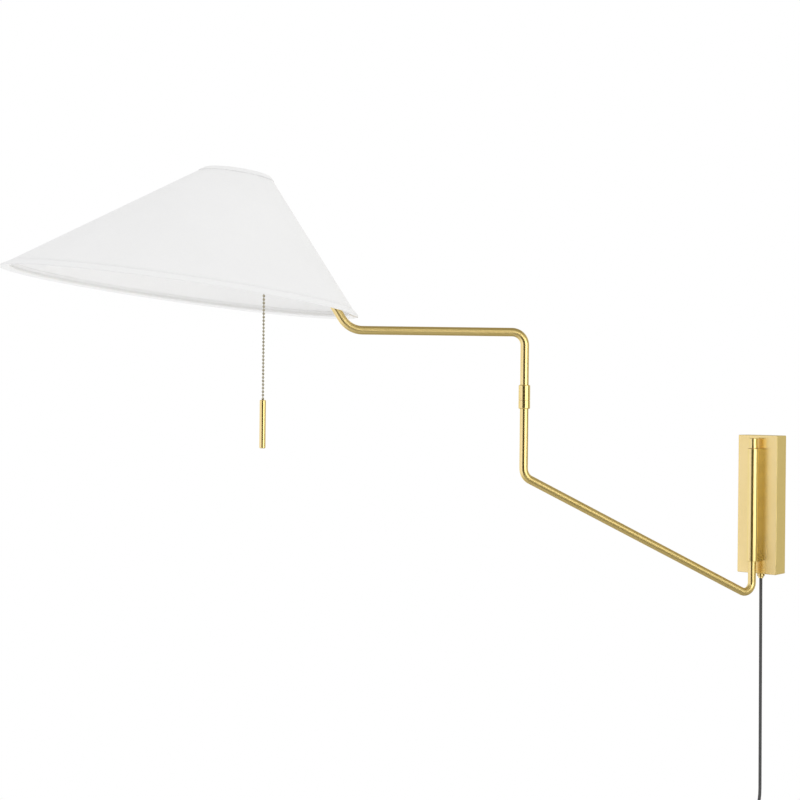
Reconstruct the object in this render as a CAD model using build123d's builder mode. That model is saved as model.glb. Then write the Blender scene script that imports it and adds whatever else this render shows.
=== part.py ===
"""Swing arm wall sconce with an oblique cone shade, a pull-chain lampholder and a plug-in cord.

Millimetres. The origin is the centre of the wall face of the backplate, +Z is up, -Y points out of the
wall and +X is to the right of someone who faces the wall. The pose is the stored one: the lower arm
swung to the left of straight out, the upper arm bent further left at the elbow, the shade tipped back.
"""

import os
from math import cos, hypot, pi, radians, sin, tan

from build123d import *

os.makedirs("parts", exist_ok=True)

# ---------------------------------------------------------------- driving dimensions
TUBE_D = 10.0
TUBE_BORE = 8.0
WIRE_D = 3.4
RUNNING = 0.03  # radial clearance of every turning fit

PLATE_W, PLATE_H, PLATE_T = 54.0, 178.0, 25.4
COVER_WALL = 1.5
BRACKET_W, BRACKET_GAUGE, EAR_DEPTH = 46.0, 2.0, 14.0
WALL_HOLE_PITCH, WALL_HOLE_D = 120.0, 5.2

BARREL_D, BARREL_LENGTH = 15.2, 144.2
BARREL_STANDOFF = 12.3  # pivot axis to the front of the cover
BARREL_SCREW_PITCH, BARREL_SCREW_D = 90.0, 4.0
BUSH_D, BUSH_LENGTH = 12.0, 14.0
CAP_D, CAP_HEIGHT = 11.0, 13.3

LOWER_ANGLE, UPPER_ANGLE = 69.0, 44.0  # arm headings, from the wall plane on the left
LOWER_REACH = 350.0
LOWER_BEND_Z, ELBOW_BEND_Z, UPPER_ARM_Z = -117.5, 42.4, 210.0
LOWER_BEND_R, ELBOW_BEND_R, UPPER_BEND_R = 12.0, 15.0, 15.0
COLLAR_D, COLLAR_BOTTOM_Z, COLLAR_SPLIT_Z, COLLAR_TOP_Z = 13.5, 120.9, 130.9, 148.8
RISE_REACH, RISE_BEND_R, CREST_BEND_R = 204.5, 28.0, 20.0
RISE_ANGLE = 58.0

HUB_REACH, HUB_Z = 337.3, 366.0
SHADE_TILT = 7.0
SHADE_TOP_D, SHADE_BOTTOM_D, SHADE_HEIGHT, SHADE_SHIFT = 84.0, 406.0, 142.0, 44.0
SHADE_TOP_U = 20.0  # top edge above the tilt axis
FABRIC_T, TRIM_T = 1.0, 0.7
TRIM_BOTTOM_H, TRIM_TOP_H = 5.6, 3.6
RING_WIRE_D = 3.0

HOUSING_D, HOUSING_TOP, HOUSING_BOTTOM = 24.0, 11.5, -13.0
SHELL_R, SHELL_TOP, SHELL_BOTTOM = 17.5, -26.0, -60.0
SPOUT_U, SPOUT_D, MOUTH_DROP = -32.0, 7.5, 8.0
CHAIN_REACH = 303.0
BALL_D, BALL_PITCH, LINK_D = 3.0, 4.08, 1.0
PULL_TOP_Z, PULL_BOTTOM_Z, PULL_D = 128.4, 72.6, 7.2

CORD_D, CORD_LENGTH = 4.0, 1800.0
GLAND_D, GLAND_DROP, GLAND_NOSE_D, GLAND_NOSE = 9.8, 4.6, 6.6, 2.2
COIL_MID_D, COIL_RADIAL, COIL_AXIAL = 45.2, 16.4, 11.2  # ten turns, packed three, four and three

# ---------------------------------------------------------------- places worked out from them
UP = Vector(0, 0, 1)


def heading(angle):
    """Unit vector in plan at an angle out from the wall plane, starting at the left."""
    return Vector(-cos(radians(angle)), -sin(radians(angle)), 0)


def upright_plane(origin, direction):
    """Plane whose X runs along a plan direction and whose Y is up."""
    return Plane(origin=origin, x_dir=direction, z_dir=direction.cross(UP))


lower_dir, upper_dir = heading(LOWER_ANGLE), heading(UPPER_ANGLE)
pivot = Vector(0, -(PLATE_T + BARREL_STANDOFF), 0)
elbow = pivot + lower_dir * LOWER_REACH
lower_plane = upright_plane(pivot, lower_dir)
upper_plane = upright_plane(elbow, upper_dir)
pivot_plan = Plane(origin=pivot, x_dir=lower_dir, z_dir=UP)
elbow_plan = Plane(origin=elbow, x_dir=upper_dir, z_dir=UP)

hub = elbow + upper_dir * HUB_REACH + UP * HUB_Z
head_x = upper_dir * cos(radians(SHADE_TILT)) + UP * sin(radians(SHADE_TILT))
head_up = UP * cos(radians(SHADE_TILT)) - upper_dir * sin(radians(SHADE_TILT))
head_y = head_up.cross(head_x)
head = Plane(origin=hub, x_dir=head_x, z_dir=head_up)
head_side = Plane(origin=hub, x_dir=head_x, z_dir=head_x.cross(head_up))
head_axis = Axis(hub, head_up)
hub_plane = upright_plane(hub, upper_dir)

plate_front = -PLATE_T
gland_y = -PLATE_T / 2
plate_bottom = -PLATE_H / 2


def head_reach(u, reach):
    """Distance along the head's X, at height u, of a point at a given reach from the elbow."""
    along = reach - HUB_REACH + u * sin(radians(SHADE_TILT))
    return along / cos(radians(SHADE_TILT))


def shade_section(u):
    """Centre and radius of the shade's outside at height u in the head's frame."""
    drop = (SHADE_TOP_U - u) / SHADE_HEIGHT
    radius = SHADE_TOP_D / 2 + drop * (SHADE_BOTTOM_D - SHADE_TOP_D) / 2
    return drop * SHADE_SHIFT, radius


def save(piece, label):
    """Label a finished piece and write its STEP file."""
    piece.part.label = label
    export_step(piece.part, f"parts/{label}.step")


# ---------------------------------------------------------------- backplate
inner_w, inner_h = PLATE_W - 2 * COVER_WALL, PLATE_H - 2 * COVER_WALL
set_screw_x, set_screw_y, set_screw_d = 17.0, -8.0, 3.0
wire_hole_d = 7.0

with BuildPart() as backplate_cover:
    with BuildSketch(Plane.XZ):
        RectangleRounded(PLATE_W, PLATE_H, 1.2)
    extrude(amount=PLATE_T)
    fillet(backplate_cover.faces().sort_by(Axis.Y)[0].edges(), 0.6)
    with BuildSketch(Plane.XZ):
        RectangleRounded(inner_w, inner_h, 0.6)
    extrude(amount=PLATE_T - COVER_WALL, mode=Mode.SUBTRACT)
    with BuildSketch(Plane.XZ.offset(PLATE_T - COVER_WALL)):
        Circle(wire_hole_d / 2 + 0.5)
        with GridLocations(0, BARREL_SCREW_PITCH, 1, 2):
            Circle(BARREL_SCREW_D / 2 + 0.2)
    extrude(amount=COVER_WALL, mode=Mode.SUBTRACT)
    with BuildSketch(Plane.XY.offset(plate_bottom)):
        with Locations((0, gland_y)):
            Circle(4.0)
    extrude(amount=COVER_WALL, mode=Mode.SUBTRACT)
    with BuildSketch(Plane.XY.offset(plate_bottom)):
        with Locations((set_screw_x, set_screw_y), (-set_screw_x, set_screw_y)):
            Circle(set_screw_d / 2)
    extrude(amount=PLATE_H, mode=Mode.SUBTRACT)
save(backplate_cover, "backplate_cover")

ear_z = inner_h / 2 - 0.2
with BuildPart() as wall_bracket:
    with BuildSketch(Plane.YZ):
        with BuildLine():
            Polyline(
                (0, ear_z), (-EAR_DEPTH, ear_z), (-EAR_DEPTH, ear_z - BRACKET_GAUGE),
                (-BRACKET_GAUGE, ear_z - BRACKET_GAUGE), (-BRACKET_GAUGE, BRACKET_GAUGE - ear_z),
                (-EAR_DEPTH, BRACKET_GAUGE - ear_z), (-EAR_DEPTH, -ear_z), (0, -ear_z), close=True,
            )
        make_face()
    extrude(amount=BRACKET_W / 2, both=True)
    bends = wall_bracket.edges().filter_by(Axis.X).group_by(Axis.Y)[-1]
    fillet(bends, 1.5)
    with BuildSketch(Plane.XZ):
        with GridLocations(0, WALL_HOLE_PITCH, 1, 2):
            Circle(WALL_HOLE_D / 2)
    extrude(amount=BRACKET_GAUGE, mode=Mode.SUBTRACT)
    with BuildSketch(Plane.XY.offset(-ear_z)):
        with Locations((0, gland_y)):
            RectangleRounded(18, 20, 3)
    extrude(amount=BRACKET_GAUGE, mode=Mode.SUBTRACT)
    with BuildSketch(Plane.XY.offset(-ear_z)):
        with Locations((set_screw_x, set_screw_y), (-set_screw_x, set_screw_y)):
            Circle(set_screw_d / 2)
    extrude(amount=2 * ear_z, mode=Mode.SUBTRACT)
save(wall_bracket, "wall_bracket")

set_screw_length, hex_socket_d, hex_socket_depth = 4.2, 1.5, 1.6
set_screw_spots = [(set_screw_x, set_screw_y), (-set_screw_x, set_screw_y)]
with BuildPart() as cover_screws:
    with BuildSketch(Plane.XY.offset(PLATE_H / 2 - set_screw_length)):
        with Locations(set_screw_spots):
            Circle(set_screw_d / 2)
    extrude(amount=set_screw_length)
    with BuildSketch(Plane.XY.offset(plate_bottom)):
        with Locations(set_screw_spots):
            Circle(set_screw_d / 2)
    extrude(amount=set_screw_length)
    with BuildSketch(Plane.XY.offset(PLATE_H / 2 - hex_socket_depth)):
        with Locations(set_screw_spots):
            RegularPolygon(hex_socket_d / 2, 6)
    extrude(amount=hex_socket_depth, mode=Mode.SUBTRACT)
    with BuildSketch(Plane.XY.offset(plate_bottom)):
        with Locations(set_screw_spots):
            RegularPolygon(hex_socket_d / 2, 6)
    extrude(amount=hex_socket_depth, mode=Mode.SUBTRACT)
save(cover_screws, "cover_screws")

bar_w, bar_h, bar_t = 14.0, 112.0, 3.0
with BuildPart() as backing_bar:
    with BuildSketch(Plane.XZ.offset(PLATE_T - COVER_WALL - bar_t)):
        RectangleRounded(bar_w, bar_h, 2)
        Circle(wire_hole_d / 2, mode=Mode.SUBTRACT)
        with GridLocations(0, BARREL_SCREW_PITCH, 1, 2):
            Circle(BARREL_SCREW_D / 2 + 0.2, mode=Mode.SUBTRACT)
    extrude(amount=bar_t)
save(backing_bar, "backing_bar")

# ---------------------------------------------------------------- barrel and its bushes
barrel_bore_r = 5.4
barrel_top, barrel_bottom = BARREL_LENGTH / 2, -BARREL_LENGTH / 2
screw_depth = 6.0

with BuildPart() as barrel_block:
    with BuildSketch(Plane.XY.offset(barrel_bottom)):
        with Locations((0, pivot.Y)):
            Circle(BARREL_D / 2)
        with Locations((0, (pivot.Y + plate_front) / 2)):
            Rectangle(BARREL_D, BARREL_STANDOFF)
    extrude(amount=BARREL_LENGTH)
    fillet(barrel_block.faces().filter_by(Axis.Z).edges(), 0.5)
    with BuildSketch(Plane.XY.offset(barrel_bottom)):
        with Locations((0, pivot.Y)):
            Circle(barrel_bore_r)
    extrude(amount=BARREL_LENGTH, mode=Mode.SUBTRACT)
    for bush_z in (barrel_bottom, barrel_top - BUSH_LENGTH):
        with BuildSketch(Plane.XY.offset(bush_z)):
            with Locations((0, pivot.Y)):
                Circle(BUSH_D / 2)
        extrude(amount=BUSH_LENGTH, mode=Mode.SUBTRACT)
    with BuildSketch(Plane.XZ.offset(PLATE_T)):
        Circle(wire_hole_d / 2)
    extrude(amount=BARREL_STANDOFF, mode=Mode.SUBTRACT)
    with BuildSketch(Plane.XZ.offset(PLATE_T)):
        with GridLocations(0, BARREL_SCREW_PITCH, 1, 2):
            Circle(BARREL_SCREW_D / 2)
    extrude(amount=screw_depth, mode=Mode.SUBTRACT)
save(barrel_block, "barrel_block")

bush_bottoms = {"lower_barrel_bush": barrel_bottom, "upper_barrel_bush": barrel_top - BUSH_LENGTH}
for bush_name, bush_z in bush_bottoms.items():
    with BuildPart() as bush:
        with BuildSketch(Plane.XY.offset(bush_z)):
            with Locations((0, pivot.Y)):
                Circle(BUSH_D / 2)
                Circle(TUBE_D / 2 + RUNNING, mode=Mode.SUBTRACT)
        extrude(amount=BUSH_LENGTH)
    save(bush, bush_name)

head_h, head_d = 2.6, 7.5
with BuildPart() as barrel_screws:
    bar_back = PLATE_T - COVER_WALL - bar_t
    with BuildSketch(Plane.XZ.offset(bar_back - head_h)):
        with GridLocations(0, BARREL_SCREW_PITCH, 1, 2):
            Circle(head_d / 2)
    extrude(amount=head_h)
    with BuildSketch(Plane.XZ.offset(bar_back)):
        with GridLocations(0, BARREL_SCREW_PITCH, 1, 2):
            Circle(BARREL_SCREW_D / 2)
    extrude(amount=bar_t + COVER_WALL + screw_depth - 0.4)
    with BuildSketch(Plane.XZ.offset(bar_back - head_h)):
        with GridLocations(0, BARREL_SCREW_PITCH, 1, 2):
            Rectangle(head_d, 1.0)
    extrude(amount=1.2, mode=Mode.SUBTRACT)
save(barrel_screws, "barrel_screws")

# ---------------------------------------------------------------- cord entry and splice
gland_face = plate_bottom - GLAND_DROP
nose_face = gland_face - GLAND_NOSE
gland_stem_top = plate_bottom + 8.0
nut_bottom = plate_bottom + COVER_WALL

with BuildPart() as cord_gland:
    with BuildSketch(Plane.XY.offset(gland_face)):
        with Locations((0, gland_y)):
            Circle(GLAND_D / 2)
    extrude(amount=GLAND_DROP)
    chamfer(cord_gland.faces().sort_by(Axis.Z)[0].edges(), 0.6)
    with BuildSketch(Plane.XY.offset(nose_face)):
        with Locations((0, gland_y)):
            Circle(GLAND_NOSE_D / 2)
    extrude(amount=GLAND_NOSE)
    with BuildSketch(Plane.XY.offset(plate_bottom)):
        with Locations((0, gland_y)):
            Circle(4.0)
    extrude(amount=gland_stem_top - plate_bottom)
    with BuildSketch(Plane.XY.offset(gland_face)):
        with Locations((0, gland_y)):
            with PolarLocations(GLAND_D / 2, 8, start_angle=22.5):
                Rectangle(1.6, 1.3)
    extrude(amount=GLAND_DROP - 0.9, mode=Mode.SUBTRACT)
    with BuildSketch(Plane.XY.offset(nose_face)):
        with Locations((0, gland_y)):
            Circle(CORD_D / 2)
    extrude(amount=gland_stem_top - nose_face, mode=Mode.SUBTRACT)
save(cord_gland, "cord_gland")

with BuildPart() as gland_nut:
    with BuildSketch(Plane.XY.offset(nut_bottom)):
        with Locations((0, gland_y)):
            RegularPolygon(6.2, 6)
            Circle(4.0, mode=Mode.SUBTRACT)
    extrude(amount=3.0)
save(gland_nut, "gland_nut")

splice_z, crimp_length, crimp_d = -50.0, 14.0, 5.6
with BuildPart() as inner_cord:
    with BuildSketch(Plane.XY.offset(nose_face)):
        with Locations((0, gland_y)):
            Circle(CORD_D / 2)
    extrude(amount=splice_z - nose_face)
save(inner_cord, "inner_cord")

with BuildPart() as wire_crimps:
    with BuildSketch(Plane.XY.offset(splice_z)):
        with Locations((crimp_d / 2 + 0.1, gland_y), (-crimp_d / 2 - 0.1, gland_y)):
            Circle(crimp_d / 2)
    extrude(amount=crimp_length)
    chamfer(wire_crimps.faces().sort_by(Axis.Z)[-2:].edges(), 0.8)
save(wire_crimps, "wire_crimps")

lead_start = splice_z + crimp_length
lead_end = pivot.Y + TUBE_D / 2 + 0.6
with BuildPart() as barrel_lead:
    with BuildLine(Plane.YZ) as lead_path:
        FilletPolyline((gland_y, lead_start), (gland_y, 0), (lead_end, 0), radius=[9.0])
    with BuildSketch(Plane.XY.offset(lead_start)):
        with Locations((0, gland_y)):
            Circle(WIRE_D / 2)
    sweep(path=lead_path.line)
save(barrel_lead, "barrel_lead")

# ---------------------------------------------------------------- lower arm
tube_top = barrel_top + 8.0
lower_tube_end = COLLAR_SPLIT_Z - 4.0
lower_points = [(0, tube_top), (0, LOWER_BEND_Z), (LOWER_REACH, ELBOW_BEND_Z), (LOWER_REACH, lower_tube_end)]
window_h = 9.0

with BuildPart() as lower_arm_tube:
    with BuildLine(lower_plane) as lower_path:
        FilletPolyline(lower_points, radius=[LOWER_BEND_R, ELBOW_BEND_R])
    with BuildSketch(Plane(origin=lower_path.line @ 0, z_dir=lower_path.line % 0)):
        Circle(TUBE_D / 2)
        Circle(TUBE_BORE / 2, mode=Mode.SUBTRACT)
    sweep(path=lower_path.line)
    with BuildSketch(lower_plane):
        with Locations((-TUBE_D / 2, 0)):
            Rectangle(TUBE_D * 0.9, window_h)
    extrude(amount=TUBE_D, both=True, mode=Mode.SUBTRACT)
save(lower_arm_tube, "lower_arm_tube")

washer_t = 0.5
with BuildPart() as pivot_washer:
    with BuildSketch(pivot_plan.offset(barrel_top)):
        Circle(BUSH_D / 2)
        Circle(TUBE_D / 2 + RUNNING, mode=Mode.SUBTRACT)
    extrude(amount=washer_t)
save(pivot_washer, "pivot_washer")

cap_bottom = barrel_top + washer_t
with BuildPart() as pivot_cap:
    with BuildSketch(pivot_plan.offset(cap_bottom)):
        Circle(CAP_D / 2)
    extrude(amount=CAP_HEIGHT - washer_t)
    chamfer(pivot_cap.faces().sort_by(Axis.Z)[-1].edges(), 0.5)
    with BuildSketch(pivot_plan.offset(cap_bottom)):
        Circle(TUBE_D / 2)
    extrude(amount=tube_top - cap_bottom, mode=Mode.SUBTRACT)
save(pivot_cap, "pivot_cap")

with BuildPart() as lower_arm_wire:
    with BuildLine(lower_plane) as lower_wire_path:
        FilletPolyline((0, -1), *lower_points[1:], radius=[LOWER_BEND_R, ELBOW_BEND_R])
    with BuildSketch(Plane(origin=lower_wire_path.line @ 0, z_dir=lower_wire_path.line % 0)):
        Circle(WIRE_D / 2)
    sweep(path=lower_wire_path.line)
save(lower_arm_wire, "lower_arm_wire")

# ---------------------------------------------------------------- elbow
elbow_washer_t = 0.4
lower_collar_top = COLLAR_SPLIT_Z - elbow_washer_t / 2
upper_collar_bottom = COLLAR_SPLIT_Z + elbow_washer_t / 2
stem_d, stem_bore = 7.0, 4.4
stem_nut_d, stem_nut_h = 9.2, 3.0
chamber_floor = upper_collar_bottom + 6.0
nut_seat = chamber_floor + 0.3
upper_tube_start = nut_seat + stem_nut_h + 1.2

with BuildPart() as elbow_lower_collar:
    with BuildSketch(elbow_plan.offset(COLLAR_BOTTOM_Z)):
        Circle(COLLAR_D / 2)
    extrude(amount=lower_collar_top - COLLAR_BOTTOM_Z)
    chamfer(elbow_lower_collar.faces().sort_by(Axis.Z)[0].edges(), 0.8)
    with BuildSketch(elbow_plan.offset(COLLAR_BOTTOM_Z)):
        Circle(TUBE_D / 2)
    extrude(amount=lower_tube_end - COLLAR_BOTTOM_Z, mode=Mode.SUBTRACT)
    with BuildSketch(elbow_plan.offset(COLLAR_BOTTOM_Z)):
        Circle(stem_d / 2)
    extrude(amount=lower_collar_top - COLLAR_BOTTOM_Z, mode=Mode.SUBTRACT)
save(elbow_lower_collar, "elbow_lower_collar")

with BuildPart() as elbow_stem:
    with BuildSketch(elbow_plan.offset(lower_tube_end)):
        Circle(stem_d / 2)
        Circle(stem_bore / 2, mode=Mode.SUBTRACT)
    extrude(amount=nut_seat + stem_nut_h + 0.6 - lower_tube_end)
save(elbow_stem, "elbow_stem")

with BuildPart() as elbow_washer:
    with BuildSketch(elbow_plan.offset(lower_collar_top)):
        Circle(COLLAR_D / 2 - 0.7)
        Circle(stem_d / 2 + 0.1, mode=Mode.SUBTRACT)
    extrude(amount=elbow_washer_t)
save(elbow_washer, "elbow_washer")

with BuildPart() as stem_nut:
    with BuildSketch(elbow_plan.offset(nut_seat)):
        Circle(stem_nut_d / 2)
        Circle(stem_d / 2, mode=Mode.SUBTRACT)
    extrude(amount=stem_nut_h)
save(stem_nut, "stem_nut")

with BuildPart() as elbow_upper_collar:
    with BuildSketch(elbow_plan.offset(upper_collar_bottom)):
        Circle(COLLAR_D / 2)
    extrude(amount=COLLAR_TOP_Z - upper_collar_bottom)
    chamfer(elbow_upper_collar.faces().sort_by(Axis.Z)[-1].edges(), 0.8)
    with BuildSketch(elbow_plan.offset(chamber_floor)):
        Circle(TUBE_D / 2)
    extrude(amount=COLLAR_TOP_Z - chamber_floor, mode=Mode.SUBTRACT)
    with BuildSketch(elbow_plan.offset(upper_collar_bottom)):
        Circle(stem_d / 2 + RUNNING)
    extrude(amount=chamber_floor - upper_collar_bottom, mode=Mode.SUBTRACT)
save(elbow_upper_collar, "elbow_upper_collar")

# ---------------------------------------------------------------- upper arm
crest_reach = RISE_REACH + (HUB_Z - UPPER_ARM_Z) / tan(radians(RISE_ANGLE))
tube_end_reach = HUB_REACH - 17.0
upper_points = [
    (0, upper_tube_start), (0, UPPER_ARM_Z), (RISE_REACH, UPPER_ARM_Z),
    (crest_reach, HUB_Z), (tube_end_reach, HUB_Z),
]
upper_radii = [UPPER_BEND_R, RISE_BEND_R, CREST_BEND_R]

with BuildPart() as upper_arm_tube:
    with BuildLine(upper_plane) as upper_path:
        FilletPolyline(upper_points, radius=upper_radii)
    with BuildSketch(Plane(origin=upper_path.line @ 0, z_dir=upper_path.line % 0)):
        Circle(TUBE_D / 2)
        Circle(TUBE_BORE / 2, mode=Mode.SUBTRACT)
    sweep(path=upper_path.line)
save(upper_arm_tube, "upper_arm_tube")

with BuildPart() as upper_arm_wire:
    with BuildLine(upper_plane) as upper_wire_path:
        FilletPolyline((0, upper_tube_start + 1), *upper_points[1:], radius=upper_radii)
    with BuildSketch(Plane(origin=upper_wire_path.line @ 0, z_dir=upper_wire_path.line % 0)):
        Circle(WIRE_D / 2)
    sweep(path=upper_wire_path.line)
save(upper_arm_wire, "upper_arm_wire")

# ---------------------------------------------------------------- tilt knuckle
eye_r, neck_h, tongue_t = 7.0, 8.0, 5.0
screw_d = 5.0
ferrule_d, ferrule_start, ferrule_end = 13.0, -23.0, -15.0
slot_half, slot_end = 8.0, eye_r + 0.6
washer_t = 0.5
slot_w = tongue_t + 2 * washer_t + 0.1
cheek_half = 10.5

with BuildPart() as tilt_tongue:
    with BuildSketch(Plane(origin=hub + upper_dir * ferrule_start, z_dir=upper_dir)):
        Circle(ferrule_d / 2)
    extrude(amount=ferrule_end - ferrule_start)
    chamfer(tilt_tongue.edges().filter_by(GeomType.CIRCLE), 0.8)
    with BuildSketch(Plane(origin=hub + upper_dir * ferrule_start, z_dir=upper_dir)):
        Circle(TUBE_D / 2)
    extrude(amount=-17.0 - ferrule_start, mode=Mode.SUBTRACT)
    with BuildSketch(hub_plane):
        Circle(eye_r)
        with Locations((ferrule_end / 2, 0)):
            Rectangle(-ferrule_end + 1, neck_h)
    extrude(amount=tongue_t / 2, both=True)
    with BuildSketch(hub_plane):
        Circle(screw_d / 2 + RUNNING)
    extrude(amount=tongue_t, both=True, mode=Mode.SUBTRACT)
save(tilt_tongue, "tilt_tongue")

stud_d, stud_top = 9.4, 19.0
with BuildPart() as tilt_housing:
    with BuildSketch(head.offset(HOUSING_BOTTOM)):
        Circle(HOUSING_D / 2)
    extrude(amount=HOUSING_TOP - HOUSING_BOTTOM)
    fillet(tilt_housing.edges().filter_by(GeomType.CIRCLE), 1.5)
    with BuildSketch(head.offset(HOUSING_TOP)):
        Circle(stud_d / 2)
    extrude(amount=stud_top - HOUSING_TOP)
    with BuildSketch(head.offset(HOUSING_BOTTOM)):
        with Locations((0, cheek_half + HOUSING_D / 2), (0, -cheek_half - HOUSING_D / 2)):
            Rectangle(HOUSING_D, HOUSING_D)
    extrude(amount=HOUSING_TOP - HOUSING_BOTTOM, mode=Mode.SUBTRACT)
    with BuildSketch(head_side):
        with Locations(((slot_end - HOUSING_D) / 2, 0)):
            Rectangle(HOUSING_D + slot_end, 2 * slot_half)
    extrude(amount=slot_w / 2, both=True, mode=Mode.SUBTRACT)
    with BuildSketch(head_side):
        Circle(screw_d / 2)
    extrude(amount=HOUSING_D, both=True, mode=Mode.SUBTRACT)
    with BuildSketch(head.offset(HOUSING_BOTTOM)):
        Circle(4.0)
    extrude(amount=4.0, mode=Mode.SUBTRACT)
save(tilt_housing, "tilt_housing")

with BuildPart() as tilt_washers:
    for side in (1, -1):
        with BuildSketch(head_side.offset(side * (tongue_t / 2 + 0.04))):
            Circle(6.0)
            Circle(screw_d / 2 + 0.05, mode=Mode.SUBTRACT)
        extrude(amount=side * washer_t)
save(tilt_washers, "tilt_washers")

with BuildPart() as tilt_screw:
    with BuildSketch(head_side.offset(-cheek_half)):
        Circle(screw_d / 2)
    extrude(amount=2 * cheek_half)
    with BuildSketch(head_side.offset(-cheek_half)):
        Circle(4.5)
    extrude(amount=-3.2)
    with BuildSketch(head_side.offset(-cheek_half - 3.2)):
        Rectangle(9.2, 1.0)
    extrude(amount=1.3, mode=Mode.SUBTRACT)
    with BuildSketch(head_side.offset(cheek_half)):
        Circle(screw_d / 2)
    extrude(amount=4.4)
save(tilt_screw, "tilt_screw")

with BuildPart() as tilt_nut:
    with BuildSketch(head_side.offset(cheek_half)):
        RegularPolygon(4.9, 6)
        Circle(screw_d / 2, mode=Mode.SUBTRACT)
    extrude(amount=3.6)
save(tilt_nut, "tilt_nut")

# ---------------------------------------------------------------- lampholder
nipple_r, nipple_bore_r = 4.0, 3.0
cap_top, cap_wall = HOUSING_BOTTOM, 0.8
with BuildPart() as socket_nipple:
    with BuildSketch(head.offset(cap_top - 6.0)):
        Circle(nipple_r)
        Circle(nipple_bore_r, mode=Mode.SUBTRACT)
    extrude(amount=10.0)
save(socket_nipple, "socket_nipple")

with BuildPart() as socket_cap:
    with BuildSketch(head_side):
        with BuildLine():
            neck = Polyline((nipple_r, cap_top), (8, cap_top), (8, cap_top - 4.5))
            bell = ThreePointArc(neck @ 1, (13.8, cap_top - 7.2), (SHELL_R + 0.9, SHELL_TOP + 1))
            Polyline(
                bell @ 1, (SHELL_R + 0.9, SHELL_TOP - 1.5), (SHELL_R + 0.05, SHELL_TOP - 1.5),
                (SHELL_R + 0.05, SHELL_TOP + 1.4),
            )
            inner_bell = ThreePointArc(
                (SHELL_R + 0.05, SHELL_TOP + 1.4), (13.0, cap_top - 8.1), (7.2, cap_top - 5.5)
            )
            Polyline(inner_bell @ 1, (nipple_r, cap_top - 5.5), (nipple_r, cap_top))
        make_face()
    revolve(axis=head_axis)
save(socket_cap, "socket_cap")

shell_wall = 0.5
spout_r = SPOUT_D / 2
with BuildPart() as socket_shell:
    with BuildSketch(head_side):
        with BuildLine():
            Polyline(
                (SHELL_R - shell_wall, SHELL_TOP), (SHELL_R, SHELL_TOP), (SHELL_R, SHELL_BOTTOM + 4),
                (SHELL_R + 0.9, SHELL_BOTTOM + 3), (SHELL_R, SHELL_BOTTOM + 2), (SHELL_R, SHELL_BOTTOM),
                (SHELL_R - shell_wall, SHELL_BOTTOM), close=True,
            )
        make_face()
    revolve(axis=head_axis)
    with BuildSketch(Plane(origin=hub + head_up * SPOUT_U, z_dir=-head_x)):
        Circle(spout_r)
    extrude(amount=2 * SHELL_R, mode=Mode.SUBTRACT)
save(socket_shell, "socket_shell")

liner_r, liner_wall = SHELL_R - shell_wall - 0.1, 0.7
with BuildPart() as socket_liner:
    with BuildSketch(head.offset(SHELL_BOTTOM + 0.5)):
        Circle(liner_r)
        Circle(liner_r - liner_wall, mode=Mode.SUBTRACT)
    extrude(amount=SHELL_TOP - SHELL_BOTTOM - 1.0)
    with BuildSketch(Plane(origin=hub + head_up * SPOUT_U, z_dir=-head_x)):
        Circle(spout_r)
    extrude(amount=2 * SHELL_R, mode=Mode.SUBTRACT)
save(socket_liner, "socket_liner")

body_r, body_top, body_bottom = 15.8, -24.5, -41.0
screw_shell_r, screw_shell_wall = 14.0, 0.6
with BuildPart() as socket_body:
    with BuildSketch(head.offset(body_bottom)):
        Circle(body_r)
    extrude(amount=body_top - body_bottom)
    chamfer(socket_body.faces().sort_by(head_axis)[-1].edges(), 2.4)
    with BuildSketch(head.offset(body_bottom)):
        Circle(screw_shell_r)
    extrude(amount=1.0, mode=Mode.SUBTRACT)
    with BuildSketch(Plane(origin=hub + head_up * SPOUT_U, z_dir=-head_x)):
        Circle(spout_r)
    extrude(amount=2 * SHELL_R, mode=Mode.SUBTRACT)
save(socket_body, "socket_body")

with BuildPart() as screw_shell:
    with BuildSketch(head.offset(SHELL_BOTTOM + 1.5)):
        Circle(screw_shell_r)
        Circle(screw_shell_r - screw_shell_wall, mode=Mode.SUBTRACT)
    extrude(amount=body_bottom + 1.0 - SHELL_BOTTOM - 1.5)
save(screw_shell, "screw_shell")

contact_t = 0.6
with BuildPart() as centre_contact:
    with BuildSketch(head.offset(body_bottom + 1.0 - contact_t)):
        SlotOverall(14, 5)
    extrude(amount=contact_t)
save(centre_contact, "centre_contact")

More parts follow.
